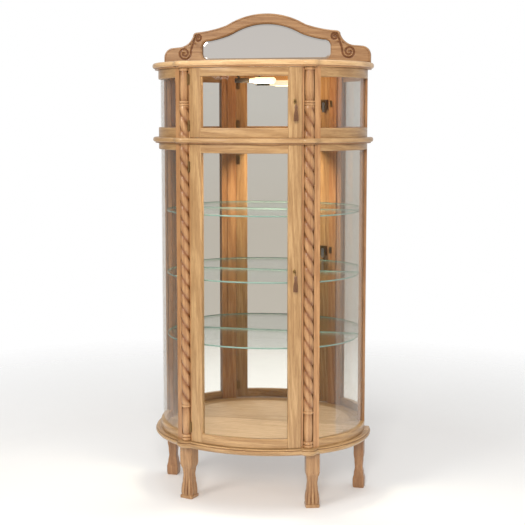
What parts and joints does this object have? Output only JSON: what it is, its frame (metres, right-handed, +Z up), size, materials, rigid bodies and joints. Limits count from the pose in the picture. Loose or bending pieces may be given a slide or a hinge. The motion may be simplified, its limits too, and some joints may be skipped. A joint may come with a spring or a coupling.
{
  "type": "curio cabinet",
  "caption": "Bow-front display cabinet: curved glass doors and sides on a mirrored back, rope-carved columns, glass shelves, an arched mirror pediment and carved legs.",
  "frame": {"origin": "on the floor, under the middle of the cabinet's bounding box", "axes": "+Z up, +X to the right of a person facing the doors, +Y from the doors to the back panel"},
  "size_m": [0.9212, 0.454, 1.9998],
  "materials": {
    "oak": "satin clear lacquer over light oak",
    "oak_back": "thin oak-faced panel",
    "curved_glass": "clear curved glass",
    "shelf_glass": "clear glass with a green edge",
    "mirror": "silvered mirror",
    "brass": "antique satin brass",
    "steel": "zinc-plated steel",
    "tassel_thread": "brown twisted thread",
    "lamp_metal": "dark satin paint",
    "bulb_glass": "lit warm-white bulb"
  },
  "bodies": {
    "root": {"front_left_leg": "oak", "front_right_leg": "oak", "rear_left_leg": "oak", "rear_right_leg": "oak", "leg_bolts": "steel", "base_moulding": "oak", "floor_panel": "oak", "left_front_post": "oak", "right_front_post": "oak", "left_rear_post": "oak", "right_rear_post": "oak", "lower_left_column": "oak", "lower_right_column": "oak", "upper_left_column": "oak", "upper_right_column": "oak", "lower_side_rails": "oak", "upper_side_rails": "oak", "lower_left_side_glass": "curved_glass", "lower_right_side_glass": "curved_glass", "upper_left_side_glass": "curved_glass", "upper_right_side_glass": "curved_glass", "lower_mirror": "mirror", "upper_mirror": "mirror", "back_panel": "oak_back", "hinge_post_leaves": "brass", "hinge_pins": "brass", "strike_plates": "brass", "top_shelf": "shelf_glass", "middle_shelf": "shelf_glass", "bottom_shelf": "shelf_glass", "shelf_pins": "steel", "mid_moulding": "oak", "deck_glass": "shelf_glass", "crown_moulding": "oak", "pediment_board": "oak", "pediment_mirror": "mirror", "lamp_socket": "lamp_metal", "lamp_bulb": "bulb_glass"},
    "lower_door": {"lower_door_hinge_stile": "oak", "lower_door_lock_stile": "oak", "lower_door_top_rail": "oak", "lower_door_bottom_rail": "oak", "lower_door_glass": "curved_glass", "lower_door_hinge_leaves": "brass", "lower_lock_body": "brass", "lower_escutcheon": "brass"},
    "lower_key": {"lower_key": "brass", "lower_lock_cam": "steel"},
    "lower_tassel": {"lower_tassel": "tassel_thread"},
    "upper_door": {"upper_door_hinge_stile": "oak", "upper_door_lock_stile": "oak", "upper_door_top_rail": "oak", "upper_door_bottom_rail": "oak", "upper_door_glass": "curved_glass", "upper_door_hinge_leaves": "brass", "upper_lock_body": "brass", "upper_escutcheon": "brass"},
    "upper_key": {"upper_key": "brass", "upper_lock_cam": "steel"},
    "upper_tassel": {"upper_tassel": "tassel_thread"}
  },
  "joints": [
    {"name": "lower_door_swing", "type": "hinge", "parent": "root", "child": "lower_door", "pos_m": [-0.22839, -0.16499, 0.2586], "axis": [0, 0, -1], "range_deg": [0, 100]},
    {"name": "lower_key_turn", "type": "hinge", "parent": "lower_door", "child": "lower_key", "pos_m": [0.19836, -0.17294, 0.968], "axis": [0.3584, -0.9336, 0], "range_deg": [0, 90]},
    {"name": "lower_tassel_swing", "type": "hinge", "parent": "lower_door", "child": "lower_tassel", "pos_m": [0.20964, -0.20234, 0.968], "axis": [0.3584, -0.9336, 0], "range_deg": [-20, 20]},
    {"name": "upper_door_swing", "type": "hinge", "parent": "root", "child": "upper_door", "pos_m": [-0.22839, -0.16499, 1.487], "axis": [0, 0, -1], "range_deg": [0, 100]},
    {"name": "upper_key_turn", "type": "hinge", "parent": "upper_door", "child": "upper_key", "pos_m": [0.19836, -0.17294, 1.628], "axis": [0.3584, -0.9336, 0], "range_deg": [0, 90]},
    {"name": "upper_tassel_swing", "type": "hinge", "parent": "upper_door", "child": "upper_tassel", "pos_m": [0.20964, -0.20234, 1.628], "axis": [0.3584, -0.9336, 0], "range_deg": [-20, 20]}
  ]
}
